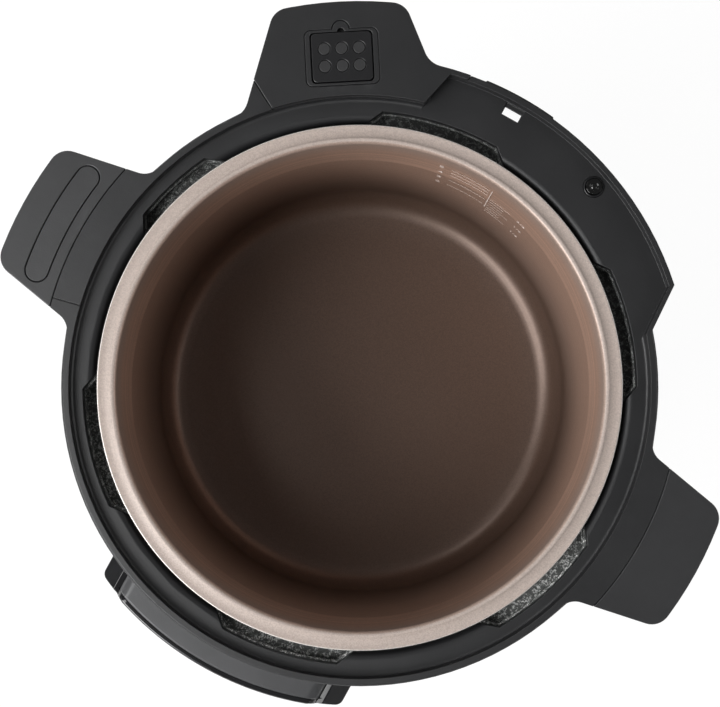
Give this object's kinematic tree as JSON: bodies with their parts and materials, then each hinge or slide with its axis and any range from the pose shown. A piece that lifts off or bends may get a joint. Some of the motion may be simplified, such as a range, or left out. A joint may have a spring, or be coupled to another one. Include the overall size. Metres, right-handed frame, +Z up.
{
  "type": "electric pressure cooker",
  "caption": "Cylindrical electric pressure cooker, lid off, with lift-out pot, bayonet ring, side handles, lid connector port, sprung lid pin and front control panel.",
  "frame": {"origin": "on the floor under the middle of the cooker's overall box, below the pot's axis", "axes": "+Z up, -Y towards the control panel, +X towards the right-hand side handle"},
  "size_m": [0.3486, 0.3229, 0.2521],
  "materials": {
    "base_plastic": "fine moulded grain",
    "foot_rubber": "matt",
    "screw_steel": "zinc plated",
    "sleeve_steel": "brushed round the cooker",
    "ring_plastic": "satin moulded",
    "handle_plastic": "fine moulded grain",
    "grip_plastic": "fine moulded grain",
    "inlay_plastic": "soft matt",
    "connector_plastic": "fine moulded grain",
    "port_plastic": "satin",
    "spring_steel": "drawn wire",
    "carrier_plastic": "natural",
    "collar_plastic": "satin",
    "pin_plastic": "polished",
    "switch_plastic": "moulded",
    "tray_steel": "black, crinkle paint",
    "shell_coating": "black, crinkle paint",
    "pot_coating": "satin bronze non-stick coating",
    "cast_aluminium": "cast, skimmed on top",
    "element_steel": "plain",
    "ceramic": "fired ceramic",
    "board_laminate": "solder mask",
    "transformer_core": "varnished",
    "relay_plastic": "moulded",
    "capacitor_sleeve": "shrink sleeve",
    "socket_plastic": "moulded",
    "blade_brass": "plated",
    "housing_plastic": "satin moulded",
    "fascia_plastic": "polished",
    "lens_plastic": "smoked, clear",
    "display_plastic": "moulded",
    "mat_rubber": "silicone",
    "key_plastic": "satin"
  },
  "bodies": {
    "cooker": {"base_cover": "base_plastic", "rubber_feet": "foot_rubber", "base_screws": "screw_steel", "outer_sleeve": "sleeve_steel", "top_ring": "ring_plastic", "ring_collar": "ring_plastic", "left_handle_cap": "handle_plastic", "right_handle_cap": "handle_plastic", "left_handle_base": "grip_plastic", "right_handle_base": "grip_plastic", "left_handle_inlay": "inlay_plastic", "connector_cap": "connector_plastic", "connector_base": "grip_plastic", "handle_screws": "screw_steel", "port_block": "port_plastic", "port_spring": "spring_steel", "port_housing": "carrier_plastic", "pin_collar": "collar_plastic", "lid_pin_spring": "spring_steel", "sensor_box": "ring_plastic", "lid_switch": "switch_plastic", "condensate_bracket": "ring_plastic", "bayonet_tray": "tray_steel", "bayonet_flange": "shell_coating", "outer_pot": "shell_coating", "heater_plate": "cast_aluminium", "heating_element": "element_steel", "heater_posts": "element_steel", "sensor_spring": "spring_steel", "sensor_retainer": "element_steel", "heat_shield": "element_steel", "pot_spacers": "ceramic", "pressure_plate": "element_steel", "pressure_switch": "switch_plastic", "thermal_fuse": "ceramic", "board_carrier": "carrier_plastic", "power_board": "board_laminate", "transformer": "transformer_core", "relay": "relay_plastic", "capacitors": "capacitor_sleeve", "terminal_block": "carrier_plastic", "inlet_socket": "socket_plastic", "inlet_blades": "blade_brass", "inlet_screws": "screw_steel", "panel_housing": "housing_plastic", "fascia": "fascia_plastic", "display_lens": "lens_plastic", "display_module": "display_plastic", "control_board": "board_laminate", "keypad_mat": "mat_rubber"},
    "pot": {"inner_pot": "pot_coating"},
    "shutter": {"port_shutter": "port_plastic"},
    "pin": {"lid_pin": "pin_plastic"},
    "sensor": {"sensor_cup": "cast_aluminium"},
    "key_1_body": {"key_1": "key_plastic"},
    "key_2_body": {"key_2": "key_plastic"},
    "key_3_body": {"key_3": "key_plastic"},
    "key_4_body": {"key_4": "key_plastic"},
    "key_5_body": {"key_5": "key_plastic"},
    "key_6_body": {"key_6": "key_plastic"}
  },
  "joints": [
    {"name": "pot_lift", "type": "slide", "parent": "cooker", "child": "pot", "axis": [0, 0, 1], "range_m": [0, 0.175]},
    {"name": "shutter_press", "type": "slide", "parent": "cooker", "child": "shutter", "axis": [0, 0, -1], "range_m": [0, 0.005], "stiffness_N_per_m": 300, "deforming": ["port_spring"]},
    {"name": "pin_press", "type": "slide", "parent": "cooker", "child": "pin", "axis": [0, 0, -1], "range_m": [0, 0.0025], "stiffness_N_per_m": 300, "deforming": ["lid_pin_spring"]},
    {"name": "sensor_press", "type": "slide", "parent": "cooker", "child": "sensor", "axis": [0, 0, -1], "range_m": [0, 0.0025], "stiffness_N_per_m": 2000, "deforming": ["sensor_spring"]},
    {"name": "key_1_press", "type": "slide", "parent": "cooker", "child": "key_1_body", "axis": [0.2603, 0.9579, -0.1213], "range_m": [0, 0.0008], "stiffness_N_per_m": 400},
    {"name": "key_2_press", "type": "slide", "parent": "cooker", "child": "key_2_body", "axis": [0.2603, 0.9579, -0.1213], "range_m": [0, 0.0008], "stiffness_N_per_m": 400},
    {"name": "key_3_press", "type": "slide", "parent": "cooker", "child": "key_3_body", "axis": [0.2603, 0.9579, -0.1213], "range_m": [0, 0.0008], "stiffness_N_per_m": 400},
    {"name": "key_4_press", "type": "slide", "parent": "cooker", "child": "key_4_body", "axis": [-0.2603, 0.9579, -0.1213], "range_m": [0, 0.0008], "stiffness_N_per_m": 400},
    {"name": "key_5_press", "type": "slide", "parent": "cooker", "child": "key_5_body", "axis": [-0.2603, 0.9579, -0.1213], "range_m": [0, 0.0008], "stiffness_N_per_m": 400},
    {"name": "key_6_press", "type": "slide", "parent": "cooker", "child": "key_6_body", "axis": [-0.2603, 0.9579, -0.1213], "range_m": [0, 0.0008], "stiffness_N_per_m": 400}
  ]
}
